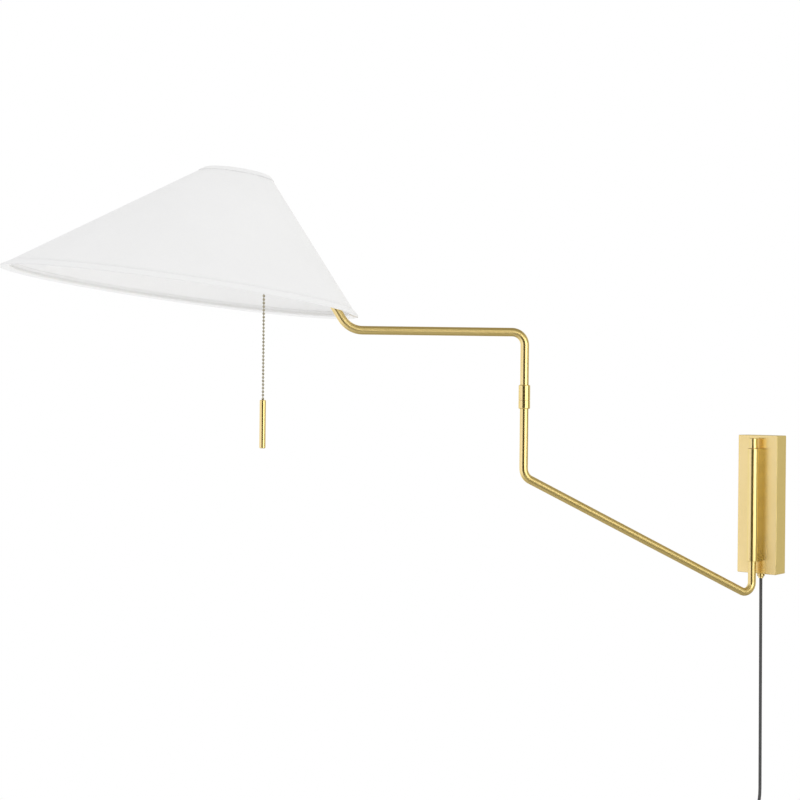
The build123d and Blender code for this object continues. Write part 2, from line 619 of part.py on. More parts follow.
# ---------------------------------------------------------------- chain outlet
mouth_u = SPOUT_U - MOUTH_DROP
mouth_x = head_reach(mouth_u, CHAIN_REACH)
mouth_axis = Axis(hub + head_x * mouth_x, head_up)
mouth_side = Plane(origin=hub + head_x * mouth_x, x_dir=head_x, z_dir=head_x.cross(head_up))
stem_r, spout_bore = spout_r - 0.4, 4.4
with BuildPart() as chain_spout:
    with BuildSketch(Plane(origin=hub + head_up * SPOUT_U + head_x * (1 - body_r), z_dir=-head_x)):
        Circle(stem_r)
    extrude(amount=-mouth_x - body_r + 1)
    with BuildSketch(mouth_side):
        with BuildLine():
            Line((0, mouth_u), (0, SPOUT_U + spout_r + 0.3))
            Line((0, SPOUT_U + spout_r + 0.3), (1.2, SPOUT_U + spout_r + 0.3))
            dome = ThreePointArc(
                (1.2, SPOUT_U + spout_r + 0.3), (spout_r - 0.6, SPOUT_U + spout_r - 0.6), (spout_r, SPOUT_U + 1.5)
            )
            Line(dome @ 1, (spout_r, SPOUT_U - 4.4))
            flare = ThreePointArc((spout_r, SPOUT_U - 4.4), (spout_r + 0.35, mouth_u + 1.6), (5.0, mouth_u))
            Line(flare @ 1, (0, mouth_u))
        make_face()
    revolve(axis=mouth_axis)
    with BuildSketch(Plane(origin=hub + head_up * SPOUT_U + head_x * (1 - body_r), z_dir=-head_x)):
        Circle(spout_bore / 2)
    extrude(amount=-mouth_x - body_r + 1, mode=Mode.SUBTRACT)
    with BuildSketch(mouth_side):
        with BuildLine():
            Polyline(
                (0, mouth_u), (4.3, mouth_u), (2.6, mouth_u + 2.4),
                (2.6, SPOUT_U + 1.6), (1.2, SPOUT_U + 2.8), (0, SPOUT_U + 2.8), close=True,
            )
        make_face()
    revolve(axis=mouth_axis, mode=Mode.SUBTRACT)
save(chain_spout, "chain_spout")

# ---------------------------------------------------------------- pull chain
chain_top = hub + head_x * mouth_x + head_up * mouth_u
chain_plan = Plane(origin=Vector(chain_top.X, chain_top.Y, 0), x_dir=upper_dir, z_dir=UP)
chain_side = Plane(origin=Vector(chain_top.X, chain_top.Y, 0), x_dir=upper_dir, z_dir=upper_dir.cross(UP))
chain_axis = Axis(Vector(chain_top.X, chain_top.Y, 0), UP)
ball_count = int((chain_top.Z - PULL_TOP_Z) / BALL_PITCH) + 2  # the last ball is inside the pull bar
last_ball_z = chain_top.Z - (ball_count - 1) * BALL_PITCH
link_ball_rise = 5.2  # the last ball inside the outlet, above the mouth

with BuildPart() as switch_link:
    with BuildSketch(chain_plan.offset(chain_top.Z + BALL_D / 2 + 0.2)):
        Circle(LINK_D / 2)
    extrude(amount=link_ball_rise - BALL_D / 2)
    with Locations((chain_top.X, chain_top.Y, chain_top.Z + link_ball_rise)):
        Sphere(BALL_D / 2)
save(switch_link, "switch_link")

with BuildPart() as ball_chain:
    with Locations([(chain_top.X, chain_top.Y, chain_top.Z - i * BALL_PITCH) for i in range(ball_count)]):
        Sphere(BALL_D / 2)
    with BuildSketch(chain_plan.offset(last_ball_z)):
        Circle(LINK_D / 2)
    extrude(amount=chain_top.Z - last_ball_z)
save(ball_chain, "ball_chain")

socket_r, socket_depth, mouth_bevel = 2.1, PULL_TOP_Z - last_ball_z + BALL_D / 2 + 0.6, 0.6
with BuildPart() as pull_bar:
    with BuildSketch(chain_side):
        with BuildLine():
            Polyline(
                (0, PULL_BOTTOM_Z), (PULL_D / 2 - 0.8, PULL_BOTTOM_Z), (PULL_D / 2, PULL_BOTTOM_Z + 0.8),
                (PULL_D / 2, PULL_TOP_Z - 0.8), (PULL_D / 2 - 0.8, PULL_TOP_Z),
                (socket_r + mouth_bevel, PULL_TOP_Z), (socket_r, PULL_TOP_Z - mouth_bevel),
                (socket_r, PULL_TOP_Z - socket_depth), (0, PULL_TOP_Z - socket_depth), close=True,
            )
        make_face()
    revolve(axis=chain_axis)
save(pull_bar, "pull_bar")

# ---------------------------------------------------------------- bulb
contact_u, bulb_collar, globe_r, globe_u = -41.6, -64.0, 22.0, -83.5
base_r = 13.1
with BuildPart() as bulb_base:
    with BuildSketch(head_side):
        with BuildLine():
            Polyline(
                (0, contact_u), (4.5, contact_u), (5, contact_u - 1.2), (9.5, contact_u - 3.5),
                (base_r, contact_u - 5), (base_r, bulb_collar), (0, bulb_collar), close=True,
            )
        make_face()
    revolve(axis=head_axis)
save(bulb_base, "bulb_base")

neck_r = base_r + 0.3
with BuildPart() as bulb_glass:
    with BuildSketch(head_side):
        with BuildLine():
            Line((0, bulb_collar), (neck_r, bulb_collar))
            ThreePointArc((neck_r, bulb_collar), (19.2, globe_u + 10.7), (globe_r, globe_u))
            CenterArc((0, globe_u), globe_r, 0, -90)
            Line((0, globe_u - globe_r), (0, bulb_collar))
        make_face()
    revolve(axis=head_axis)
save(bulb_glass, "bulb_glass")

# ---------------------------------------------------------------- shade
SHADE_BOTTOM_U = SHADE_TOP_U - SHADE_HEIGHT


def shade_disc(u, grow):
    """Sketch the shade's round section at height u, its radius changed by grow."""
    centre, radius = shade_section(u)
    with BuildSketch(head.offset(u)) as disc:
        with Locations((centre, 0)):
            Circle(radius + grow)
    return disc


def shade_band(low, high, outside, inside):
    """Oblique cone shell between two heights, from the outside offset in to the inside offset."""
    with BuildPart() as band:
        loft([shade_disc(low, outside).sketch, shade_disc(high, outside).sketch], ruled=True)
        loft([shade_disc(low, inside).sketch, shade_disc(high, inside).sketch], ruled=True, mode=Mode.SUBTRACT)
    return band


shade_fabric = shade_band(SHADE_BOTTOM_U, SHADE_TOP_U, 0, -FABRIC_T)
save(shade_fabric, "shade_fabric")

trim_spans = {
    "bottom_trim": (SHADE_BOTTOM_U - TRIM_T, SHADE_BOTTOM_U + TRIM_BOTTOM_H),
    "top_trim": (SHADE_TOP_U - TRIM_TOP_H, SHADE_TOP_U + TRIM_T),
}
for trim_name, (trim_low, trim_high) in trim_spans.items():
    with BuildPart() as trim:
        add(shade_band(trim_low, trim_high, TRIM_T, -FABRIC_T - TRIM_T))
        add(shade_fabric.part, mode=Mode.SUBTRACT)
    save(trim, trim_name)

wire_r = RING_WIRE_D / 2
far_run = (SHADE_BOTTOM_D - SHADE_TOP_D) / 2 + SHADE_SHIFT
far_slant = hypot(far_run, SHADE_HEIGHT) / SHADE_HEIGHT
ring_gap = FABRIC_T + TRIM_T + wire_r * far_slant + 0.4


def ring_circle(u):
    """Centre and radius of a ring wire's centreline inside the shade at height u."""
    centre, radius = shade_section(u)
    return centre, radius - ring_gap


bottom_ring_u = SHADE_BOTTOM_U + 2.4
ring_x, ring_r = ring_circle(bottom_ring_u)
with BuildPart() as bottom_ring:
    with BuildSketch(head_side):
        with Locations((ring_x + ring_r, bottom_ring_u)):
            Circle(wire_r)
    revolve(axis=Axis(hub + head_x * ring_x, head_up))
save(bottom_ring, "bottom_ring")

top_ring_u = SHADE_TOP_U - 2.0
spider_washer_u, spider_washer_t, spider_washer_r = HOUSING_TOP, 1.5, 13.0
top_x, top_r = ring_circle(top_ring_u)
arm_start_u = spider_washer_u + spider_washer_t / 2
spider_arm_r = 1.2
with BuildPart() as shade_spider:
    with BuildSketch(head_side):
        with Locations((top_x + top_r, top_ring_u)):
            Circle(wire_r)
    revolve(axis=Axis(hub + head_x * top_x, head_up))
    with BuildSketch(head.offset(spider_washer_u)):
        Circle(spider_washer_r)
        Circle(stud_d / 2 + 0.1, mode=Mode.SUBTRACT)
    extrude(amount=spider_washer_t)
    for arm_angle in (60, 180, 300):
        arm_dir = head_x * cos(radians(arm_angle)) + head_y * sin(radians(arm_angle))
        inner_end = hub + arm_dir * (spider_washer_r - 1.0) + head_up * arm_start_u
        outer_end = hub + head_x * top_x + arm_dir * top_r + head_up * top_ring_u
        reach = outer_end - inner_end
        with BuildSketch(Plane(origin=inner_end, x_dir=arm_dir.cross(head_up), z_dir=reach)):
            Circle(spider_arm_r)
        extrude(amount=reach.length)
save(shade_spider, "shade_spider")

finial_bottom, finial_r = spider_washer_u + spider_washer_t, 7.5
with BuildPart() as finial:
    with BuildSketch(head.offset(finial_bottom)):
        Circle(finial_r)
    extrude(amount=6.5)
    fillet(finial.faces().sort_by(head_axis)[-1].edges(), 2.0)
    with BuildSketch(head.offset(finial_bottom + 6.0)):
        Circle(3.5)
    extrude(amount=2.5)
    with BuildSketch(head.offset(finial_bottom)):
        Circle(stud_d / 2)
    extrude(amount=stud_top - finial_bottom + 0.3, mode=Mode.SUBTRACT)
save(finial, "finial")

# ---------------------------------------------------------------- cord, coil and plug
cord_exit = (0.0, nose_face)
coil_x, coil_z = 3.0, -462.0
coil_r = COIL_MID_D / 2
cord_plane = Plane(origin=(0, gland_y, 0), x_dir=(1, 0, 0), z_dir=(0, -1, 0))
coil_axis = Axis((coil_x, gland_y, coil_z), (0, 1, 0))
route = [cord_exit, (3.0, -392.0), (coil_x - coil_r, -434.0), (coil_x - coil_r, -450.0)]


def corner_radius(before, corner, after):
    """Arc radius at a corner of a cord: 0.45 of its shorter run over the tangent of half the turn."""
    run_in = Vector(corner) - Vector(before)
    run_out = Vector(after) - Vector(corner)
    return 0.45 * min(run_in.length, run_out.length) / tan(radians(run_in.get_angle(run_out) / 2))


cord_radii = [corner_radius(*route[i:i + 3]) for i in range(len(route) - 2)]
print("cord arc radii, mm:", [round(radius, 1) for radius in cord_radii])

with BuildPart() as cord_run:
    with BuildLine(cord_plane) as cord_path:
        FilletPolyline(route, radius=cord_radii)
    with BuildSketch(Plane(origin=cord_path.line @ 0, z_dir=(0, 0, -1))):
        Circle(CORD_D / 2)
    sweep(path=cord_path.line)
save(cord_run, "cord_run")


section_plane = Plane(origin=(0, gland_y, coil_z), x_dir=(1, 0, 0), z_dir=(0, 0, 1))
coil_corner_r = 4.0
with BuildPart() as cord_coil:
    with BuildSketch(section_plane):
        with Locations((coil_x + coil_r, 0)):
            RectangleRounded(COIL_RADIAL, COIL_AXIAL, coil_corner_r)
    revolve(axis=coil_axis)
save(cord_coil, "cord_coil")

tie_gauge, tie_arc = 0.9, 16.0
tie_plane = Plane(
    origin=(coil_x, gland_y, coil_z),
    x_dir=(sin(radians(tie_arc / 2)), 0, cos(radians(tie_arc / 2))),
    z_dir=(cos(radians(tie_arc / 2)), 0, -sin(radians(tie_arc / 2))),
)
with BuildPart() as cord_tie:
    with BuildSketch(tie_plane):
        with Locations((coil_r, 0)):
            RectangleRounded(COIL_RADIAL + 2 * tie_gauge, COIL_AXIAL + 2 * tie_gauge, coil_corner_r + tie_gauge)
            RectangleRounded(COIL_RADIAL, COIL_AXIAL, coil_corner_r, mode=Mode.SUBTRACT)
    revolve(axis=coil_axis, revolution_arc=-tie_arc)
save(cord_tie, "cord_tie")

tail_x, tail_top, tail_bottom = coil_x - coil_r, coil_z - 16.0, coil_z - 38.0
with BuildPart() as cord_tail:
    with BuildSketch(Plane.XY.offset(tail_bottom)):
        with Locations((tail_x, gland_y)):
            Circle(CORD_D / 2)
    extrude(amount=tail_top - tail_bottom)
save(cord_tail, "cord_tail")

relief_length, relief_top_r, relief_r = 22.0, CORD_D / 2 + 0.7, 4.6
groove_pitch, groove_w, groove_depth = 3.6, 1.4, 0.9
plug_taper, plug_grip = 11.0, 13.0
plug_w, plug_depth = 21.0, 12.5
plug_shoulder = tail_bottom - relief_length
plug_waist = plug_shoulder - plug_taper
plug_face = plug_waist - plug_grip
plug_axis = Axis((tail_x, gland_y, tail_bottom), (0, 0, -1))
relief_side = Plane(origin=(tail_x, gland_y, tail_bottom), x_dir=(1, 0, 0), z_dir=(0, 1, 0))
with BuildPart() as plug_body:
    with BuildSketch(relief_side):
        Polygon((0, 0), (relief_top_r, 0), (relief_r, relief_length), (0, relief_length), align=None)
    revolve(axis=plug_axis)
    for groove in range(5):
        groove_at = 3.0 + groove * groove_pitch
        groove_floor = relief_top_r + (relief_r - relief_top_r) * groove_at / relief_length - groove_depth
        with BuildSketch(Plane.XY.offset(tail_bottom - groove_at)):
            with Locations((tail_x, gland_y)):
                Circle(relief_r + 1)
                Circle(groove_floor, mode=Mode.SUBTRACT)
        extrude(amount=-groove_w, mode=Mode.SUBTRACT)
    with BuildSketch(Plane.XY.offset(plug_shoulder)):
        with Locations((tail_x, gland_y)):
            RectangleRounded(13, 10, 4)
    with BuildSketch(Plane.XY.offset(plug_waist)):
        with Locations((tail_x, gland_y)):
            RectangleRounded(plug_w, plug_depth, 4)
    loft()
    with BuildSketch(Plane.XY.offset(plug_waist)):
        with Locations((tail_x, gland_y)):
            RectangleRounded(plug_w, plug_depth, 4)
    extrude(amount=-plug_grip)
    fillet(plug_body.faces().sort_by(Axis.Z)[0].edges(), 1.0)
save(plug_body, "plug_body")

blade_pitch, blade_t, blade_w, blade_length = 12.7, 1.5, 6.35, 17.0
with BuildPart() as plug_blades:
    with BuildSketch(Plane.XY.offset(plug_face - blade_length)):
        with Locations((tail_x - blade_pitch / 2, gland_y), (tail_x + blade_pitch / 2, gland_y)):
            Rectangle(blade_t, blade_w)
    extrude(amount=blade_length)
    chamfer(plug_blades.faces().sort_by(Axis.Z)[:2].edges().filter_by(Axis.Y), 0.4)
save(plug_blades, "plug_blades")

cord_steps = cord_path.wires()[0].length + (tail_top - tail_bottom)
print("cord outside the coil, mm:", round(cord_steps, 1))
print("turns in the coil:", round((CORD_LENGTH - cord_steps) / (COIL_MID_D * pi), 2))
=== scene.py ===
"""Looks for the swing arm wall sconce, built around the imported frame.

Metres, in the frame of the CAD: the origin is the centre of the wall face of the backplate, +Z is up,
-Y points out of the wall and +X is to the right of someone who faces the wall.
"""

from math import cos, hypot, pi, radians, sin, sqrt, tan

import bmesh
import bpy
from mathutils import Matrix, Vector, kdtree, noise


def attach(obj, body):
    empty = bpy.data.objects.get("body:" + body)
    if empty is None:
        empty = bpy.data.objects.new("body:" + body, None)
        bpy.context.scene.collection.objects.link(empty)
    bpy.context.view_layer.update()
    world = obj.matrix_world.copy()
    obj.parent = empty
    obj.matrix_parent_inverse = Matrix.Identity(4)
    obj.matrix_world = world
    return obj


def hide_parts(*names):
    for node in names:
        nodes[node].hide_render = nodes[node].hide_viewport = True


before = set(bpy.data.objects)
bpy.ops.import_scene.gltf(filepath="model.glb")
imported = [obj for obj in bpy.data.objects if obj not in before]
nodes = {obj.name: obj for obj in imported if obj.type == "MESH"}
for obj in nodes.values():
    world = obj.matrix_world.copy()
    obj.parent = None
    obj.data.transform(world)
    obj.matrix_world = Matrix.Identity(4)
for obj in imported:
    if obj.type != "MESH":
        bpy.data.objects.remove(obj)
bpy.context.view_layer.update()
scene = bpy.context.scene
scene.view_settings.view_transform = "Standard"

# ---------------------------------------------------------------- camera
CAMERA_AT = (0.83279, -1.69497, 0.12981)
CAMERA_HEADING, CAMERA_ROLL = radians(40.82), radians(0.566)

camera_data = bpy.data.cameras.new("camera")
camera_data.sensor_width = 36.0
camera_data.lens = 63.17
camera = bpy.data.objects.new("camera", camera_data)
camera.matrix_world = (
    Matrix.Translation(CAMERA_AT)
    @ Matrix.Rotation(CAMERA_HEADING, 4, "Z")
    @ Matrix.Rotation(pi / 2, 4, "X")
    @ Matrix.Rotation(CAMERA_ROLL, 4, "Z")
)
scene.collection.objects.link(camera)
scene.camera = camera


# ---------------------------------------------------------------- node material helpers
class Nodes:
    """Builds one node material, or the world's nodes, from short calls."""

    def __init__(self, name, world=None):
        self.material = world or bpy.data.materials.new(name)
        self.material.use_nodes = True
        self.tree = self.material.node_tree
        self.tree.nodes.clear()
        self.output = self.tree.nodes.new("ShaderNodeOutputWorld" if world else "ShaderNodeOutputMaterial")

    def add(self, kind, inputs=None, **settings):
        node = self.tree.nodes.new(kind)
        for key, value in settings.items():
            setattr(node, key, value)
        for key, value in (inputs or {}).items():
            self.put(node.inputs[key], value)
        return node

    def put(self, socket, value):
        if isinstance(value, bpy.types.NodeSocket):
            self.tree.links.new(value, socket)
        elif isinstance(value, tuple) and len(value) == 3 and socket.type == "RGBA":
            socket.default_value = (*value, 1.0)
        else:
            socket.default_value = value

    def maths(self, operation, a, b=0.0, clamp=False):
        node = self.add("ShaderNodeMath", operation=operation, use_clamp=clamp)
        self.put(node.inputs[0], a)
        self.put(node.inputs[1], b)
        return node.outputs[0]

    def noise(self, vector, scale, detail=2.0, roughness=0.5):
        settings = {"Vector": vector, "Scale": scale, "Detail": detail, "Roughness": roughness}
        return self.add("ShaderNodeTexNoise", settings).outputs["Fac"]

    def attribute(self, name, output="Fac"):
        return self.add("ShaderNodeAttribute", attribute_name=name).outputs[output]

    def place(self):
        return self.add("ShaderNodeTexCoord").outputs["Object"]

    def scaled(self, vector, x, y, z):
        node = self.add("ShaderNodeVectorMath", operation="MULTIPLY")
        self.put(node.inputs[0], vector)
        node.inputs[1].default_value = (x, y, z)
        return node.outputs[0]

    def vector(self, x, y, z=0.0):
        return self.add("ShaderNodeCombineXYZ", {"X": x, "Y": y, "Z": z}).outputs[0]

    def range(self, value, low, high, to_low, to_high):
        settings = {"Value": value, "From Min": low, "From Max": high, "To Min": to_low, "To Max": to_high}
        return self.add("ShaderNodeMapRange", settings).outputs["Result"]

    def mix(self, factor, a, b):
        node = self.add("ShaderNodeMix", data_type="RGBA")
        self.put(node.inputs[0], factor)
        self.put(node.inputs[6], a)
        self.put(node.inputs[7], b)
        return node.outputs[2]

    def bump(self, height, distance):
        settings = {"Height": height, "Distance": distance, "Strength": 1.0}
        return self.add("ShaderNodeBump", settings).outputs["Normal"]

    def show(self, shader):
        self.tree.links.new(shader.outputs[0], self.output.inputs["Surface"])
        return self.material

    def surface(self, inputs):
        return self.show(self.add("ShaderNodeBsdfPrincipled", inputs))


# ---------------------------------------------------------------- cord
MM = 0.001
CORD_D, CORD_LENGTH = 0.004, 1.8
CORD_Y = -0.0127
COIL_X, COIL_Z, COIL_R = 0.003, -0.462, 0.0221
TURN_PITCH = 0.00405
TURN_POINTS = 16
STATION = 2 * pi / TURN_POINTS
CONTROL_GROW = 1 / (0.5 + 0.5 * cos(STATION / 2) ** 2)  # control points stand outside the turn they make
COLUMN = sqrt(0.75) * TURN_PITCH

# (offset out from the middle radius, offset along the coil's axis towards the wall), in the order wound,
# with one more place that the last turn moves towards
LAY = [
    (-1.0, 1), (0.0, 1), (1.0, 1), (1.5, 0), (0.5, 0), (-0.5, 0), (-1.5, 0), (-1.0, -1), (0.0, -1), (1.0, -1),
    (2.0, -1),
]
TURNS = len(LAY) - 1
slots = [(COIL_R + out * TURN_PITCH, side * COLUMN) for out, side in LAY]
SHIFT_START, SHIFT_LENGTH, SHIFT_STEP = 200.0, 80.0, 10.0  # degrees round from the left, going down
PRESS_ROUNDS, EVEN_OUT = 160, 0.12  # rounds of pressing the turns apart, and how far each evens the strand


def smooth(value):
    value = min(max(value, 0.0), 1.0)
    return value * value * (3 - 2 * value)


def wound(k, angle):
    """Radius and axial offset of turn k at an angle in degrees, before the turns are pressed apart."""
    start = SHIFT_START - SHIFT_STEP * (k - (TURNS - 1) / 2)
    share = smooth((angle - start) / SHIFT_LENGTH)
    (r0, y0), (r1, y1) = slots[k], slots[k + 1]
    return [r0 + share * (r1 - r0), y0 + share * (y1 - y0)]


turns = [[wound(k, 360 * i / TURN_POINTS) for i in range(TURN_POINTS)] for k in range(TURNS)]
# the strand comes down behind the coil and eases in to the first slot
for i, (out, side) in enumerate([(0.9, 3.0), (0.55, 2.75), (0.2, 2.2), (0.05, 1.5)]):
    turns[0][i] = [slots[0][0] + out * TURN_PITCH, COLUMN * side]

strand = [point for turn in turns for point in turn]
for _ in range(PRESS_ROUNDS):
    for i in range(TURN_POINTS):
        ring = strand[i::TURN_POINTS]
        for a in range(len(ring)):
            for b in range(a + 1, len(ring)):
                dr, dy = ring[b][0] - ring[a][0], ring[b][1] - ring[a][1]
                gap = hypot(dr, dy)
                if 1e-6 < gap < TURN_PITCH:
                    push = (TURN_PITCH - gap) / gap / 2
                    ring[a][0] -= dr * push
                    ring[a][1] -= dy * push
                    ring[b][0] += dr * push
                    ring[b][1] += dy * push
    for i in range(1, len(strand) - 1):
        for axis in (0, 1):
            middle = (strand[i - 1][axis] + strand[i + 1][axis]) / 2
            strand[i][axis] += EVEN_OUT * (middle - strand[i][axis])


def on_coil(radius, side, angle):
    """Place in the row frame: the angle starts at the left and goes down, round the coil's axis."""
    return Vector((COIL_X - radius * cos(angle), CORD_Y + side, COIL_Z - radius * sin(angle)))


coil_points = [on_coil(radius * CONTROL_GROW, side, i * STATION) for i, (radius, side) in enumerate(strand)]
route = [
    Vector((0.0, CORD_Y, -0.0958)),
    Vector((0.0015, CORD_Y, -0.3443)),
    Vector((0.0018, CORD_Y, -0.3920)),
    Vector((-0.0196, CORD_Y + 0.002, -0.4340)),
    Vector((-0.0196, CORD_Y + 0.0095, -0.4500)),
]
tail = [
    Vector((-0.0272, CORD_Y - 0.0036, -0.4640)),
    Vector((-0.0262, CORD_Y - 0.0030, -0.4740)),
    Vector((-0.0205, CORD_Y - 0.0005, -0.4870)),
    Vector((-0.0196, CORD_Y, -0.4950)),
    Vector((-0.0196, CORD_Y, -0.5010)),
]
cord_points = route + coil_points + tail

cord_curve = bpy.data.curves.new("cord", "CURVE")
cord_curve.dimensions = "3D"
cord_curve.resolution_u = 6
cord_curve.bevel_depth = 1.0  # times each point's radius, which a curve's box counts in metres
cord_curve.bevel_resolution = 5
cord_curve.use_fill_caps = True
spline = cord_curve.splines.new("NURBS")
spline.points.add(len(cord_points) - 1)
for point, place in zip(spline.points, cord_points):
    point.co = (*place, 1.0)
    point.radius = CORD_D / 2
spline.order_u = 3
spline.use_endpoint_u = True
cord = bpy.data.objects.new("cord", cord_curve)
scene.collection.objects.link(cord)
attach(cord, "base")
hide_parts("cord_run", "cord_coil", "cord_tail")

# ---------------------------------------------------------------- tie round the coil
TIE_GAUGE, TIE_HALF = 0.0009, radians(8.0)
TIE_TOP = radians(270.0)
TIE_PROFILE = [  # (across in half widths, up in gauges)
    (-1.0, 0.25), (-0.94, 0.0), (0.94, 0.0), (1.0, 0.25), (1.0, 0.75), (0.94, 1.0), (0.0, 1.04), (-0.94, 1.0),
    (-1.0, 0.75),
]
tie_station = strand[TURN_POINTS * 3 // 4::TURN_POINTS]  # the strands at TIE_TOP


def hull_point(direction, grow):
    """Outermost point of the tied strands in a direction of the coil's section, pushed out by grow."""
    c, s = cos(direction), sin(direction)
    r, y = max(tie_station, key=lambda point: point[0] * c + point[1] * s)
    return r + c * (CORD_D / 2 + grow), y + s * (CORD_D / 2 + grow)


def strap(name, start, end, lift, steps):
    """Band of the tie between two directions of the section, lift above the cord."""
    mesh = bmesh.new()
    closed = end - start > 1.99 * pi
    rings = []
    for step in range(steps + (0 if closed else 1)):
        direction = start + (end - start) * step / steps
        ring = []
        for across, up in TIE_PROFILE:
            r, y = hull_point(direction, lift + TIE_GAUGE * up)
            ring.append(mesh.verts.new(on_coil(r, y, TIE_TOP + across * TIE_HALF)))
        rings.append(ring)
    pairs = list(zip(rings, rings[1:])) + ([(rings[-1], rings[0])] if closed else [])
    for one, two in pairs:
        for j in range(len(TIE_PROFILE)):
            following = (j + 1) % len(TIE_PROFILE)
            mesh.faces.new((one[j], one[following], two[following], two[j]))
    if not closed:
        mesh.faces.new(rings[0][::-1])
        mesh.faces.new(rings[-1])
    return finished(mesh, name)


def finished(mesh, name):
    """Turn a bmesh into a smooth-shaded object with outward faces."""
    bmesh.ops.recalc_face_normals(mesh, faces=mesh.faces)
    data = bpy.data.meshes.new(name)
    mesh.to_mesh(data)
    mesh.free()
    for polygon in data.polygons:
        polygon.use_smooth = True
    made = bpy.data.objects.new(name, data)
    scene.collection.objects.link(made)
    return made


tie = strap("cord_tie_band", 0.0, 2 * pi, 0.0, 96)
tie_end = strap("cord_tie_end", radians(-150), radians(-20), TIE_GAUGE, 40)
for piece in (tie, tie_end):
    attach(piece, "base")
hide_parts("cord_tie")

# ---------------------------------------------------------------- directions and places of the parts
PIVOT = Vector((0.0, -0.0377, 0.0))
LOWER_ANGLE, UPPER_ANGLE, SHADE_TILT = radians(69.0), radians(44.0), radians(7.0)
LOWER_REACH, HUB_REACH, HUB_Z = 0.350, 0.3373, 0.366
UP = Vector((0.0, 0.0, 1.0))
lower_dir = Vector((-cos(LOWER_ANGLE), -sin(LOWER_ANGLE), 0.0))
upper_dir = Vector((-cos(UPPER_ANGLE), -sin(UPPER_ANGLE), 0.0))
elbow = PIVOT + lower_dir * LOWER_REACH
hub = elbow + upper_dir * HUB_REACH + UP * HUB_Z
head_x = upper_dir * cos(SHADE_TILT) + UP * sin(SHADE_TILT)
head_up = UP * cos(SHADE_TILT) - upper_dir * sin(SHADE_TILT)
head_y = head_up.cross(head_x)


# ---------------------------------------------------------------- brushing direction of the metal
AXIS_STEP = 0.00025


def arm_axis(origin, direction, points, radii):
    """Samples of a bent tube's centreline: (place, direction, length so far)."""
    places = [origin + direction * reach + UP * height for reach, height in points]
    samples, length = [], 0.0
    start = places[0]
    for i, corner in enumerate(places[1:], 1):
        run_in = (corner - places[i - 1]).normalized()
        trim = 0.0
        if i <= len(radii):
            run_out = (places[i + 1] - corner).normalized()
            half_turn = run_in.angle(run_out) / 2
            trim = radii[i - 1] * tan(half_turn)
        end = corner - run_in * trim
        run = (end - start).length
        count = max(1, int(run / AXIS_STEP))
        for k in range(count):
            samples.append((start.lerp(end, k / count), run_in, length + run * k / count))
        length += run
        start = end
        if i <= len(radii):
            inward = (run_out - run_in).normalized()
            centre = corner + inward * radii[i - 1] / cos(half_turn)
            turn_axis = run_in.cross(run_out).normalized()
            arc = 2 * half_turn * radii[i - 1]
            count = max(2, int(arc / AXIS_STEP))
            for k in range(count):
                turned = Matrix.Rotation(2 * half_turn * k / count, 3, turn_axis)
                place = centre + turned @ (end - centre)
                samples.append((place, turned @ run_in, length + arc * k / count))
            length += arc
            start = corner + run_out * trim
    return samples


def mark_tube(node, samples):
    """Write each vertex's axis direction and its distance along the axis on the node's mesh."""
    tree = kdtree.KDTree(len(samples))
    for i, (place, _, _) in enumerate(samples):
        tree.insert(place, i)
    tree.balance()
    data = nodes[node].data
    axes, lengths = [], []
    for vertex in data.vertices:
        _, i, _ = tree.find(vertex.co)
        place, direction, length = samples[i]
        axes.extend(direction)
        lengths.append(length + (vertex.co - place).dot(direction))
    write_marks(data, axes, lengths)


def mark_straight(node, direction):
    """The same marks for a part whose brushing goes round one straight axis."""
    data = nodes[node].data
    lengths = [vertex.co.dot(direction) for vertex in data.vertices]
    write_marks(data, list(direction) * len(data.vertices), lengths)


def write_marks(data, axes, lengths):
    data.attributes.new("axis", "FLOAT_VECTOR", "POINT").data.foreach_set("vector", axes)
    data.attributes.new("along", "FLOAT", "POINT").data.foreach_set("value", lengths)


def mark_flats(node, chosen):
    """The same marks for a part with flats: chosen(face) gives the direction to blur along on each face."""
    data = nodes[node].data
    axes = []
    for polygon in data.polygons:
        axes.extend(list(chosen(polygon)) * polygon.loop_total)
    data.attributes.new("axis", "FLOAT_VECTOR", "CORNER").data.foreach_set("vector", axes)
    lengths = [vertex.co.z for vertex in data.vertices]
    data.attributes.new("along", "FLOAT", "POINT").data.foreach_set("value", lengths)


# each tube's corners as (reach, height) from its pivot, and the radii of its bends
LOWER_CORNERS, LOWER_BENDS = [(0, 0.0801), (0, -0.1175), (0.350, 0.0424), (0.350, 0.1269)], [0.012, 0.015]
UPPER_CORNERS = [(0, 0.1416), (0, 0.210), (0.2045, 0.210), (0.30198, 0.366), (0.3203, 0.366)]
UPPER_BENDS = [0.015, 0.028, 0.020]
mark_tube("lower_arm_tube", arm_axis(PIVOT, lower_dir, LOWER_CORNERS, LOWER_BENDS))
mark_tube("upper_arm_tube", arm_axis(elbow, upper_dir, UPPER_CORNERS, UPPER_BENDS))
for node in ("pivot_cap", "elbow_lower_collar", "elbow_upper_collar", "cord_gland", "pull_bar"):
    mark_straight(node, UP)
for node in ("tilt_housing", "finial", "chain_spout"):
    mark_straight(node, head_up)
mark_straight("tilt_tongue", upper_dir)


def level_across(face):
    """Horizontal direction in the face."""
    across = UP.cross(face.normal)
    return across.normalized() if across.length > 0.3 else Vector((1.0, 0.0, 0.0))


def round_nose(face):
    """The barrel is turned, so its blur runs up and down; the flats behind it blur level."""
    flat = abs(face.normal.x) > 0.995 or abs(face.normal.z) > 0.5
    return level_across(face) if flat else UP


mark_flats("backplate_cover", level_across)
mark_flats("barrel_block", round_nose)


